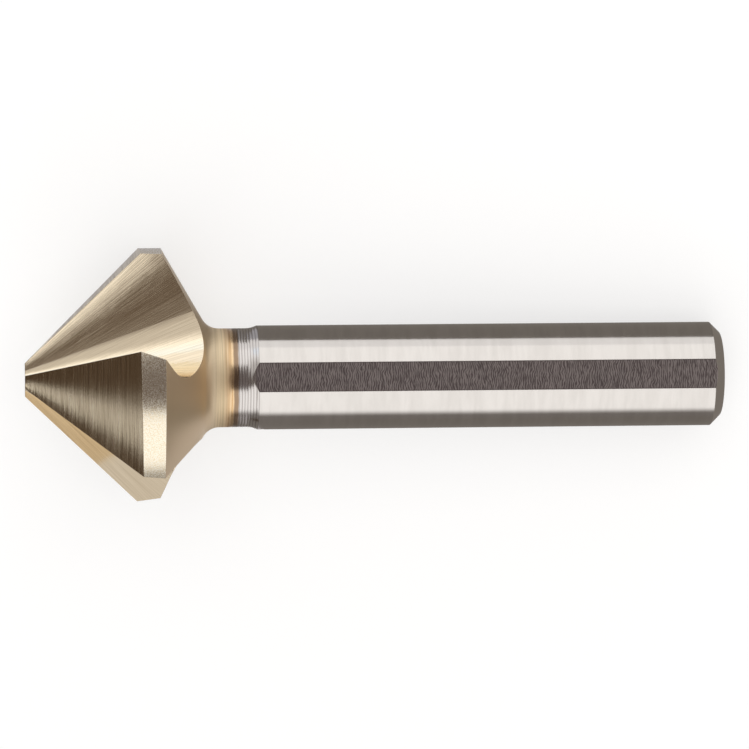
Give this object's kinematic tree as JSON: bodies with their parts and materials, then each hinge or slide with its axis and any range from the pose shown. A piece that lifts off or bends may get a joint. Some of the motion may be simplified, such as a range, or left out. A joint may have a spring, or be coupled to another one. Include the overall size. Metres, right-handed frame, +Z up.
{
  "type": "countersink bit",
  "caption": "Right-hand countersink bit with a ninety degree cutting cone, ground flutes, a necked head and a straight shank with chuck flats, lying at rest.",
  "frame": {"origin": "on the floor, under the middle of the bounding box of the bit as it lies", "axes": "+X along the floor from the tip towards the shank end, +Z up; the bit's own axis drops 6.18 degrees towards the shank end, because the head is wider than the shank"},
  "size_m": [0.0672, 0.025, 0.0233],
  "materials": {
    "ground_steel": "ground high-speed steel, a pale champagne coating on the head that fades out on the neck, bare polished steel on the shank"
  },
  "bodies": {
    "root": {"countersink_bit": "ground_steel"}
  },
  "joints": []
}
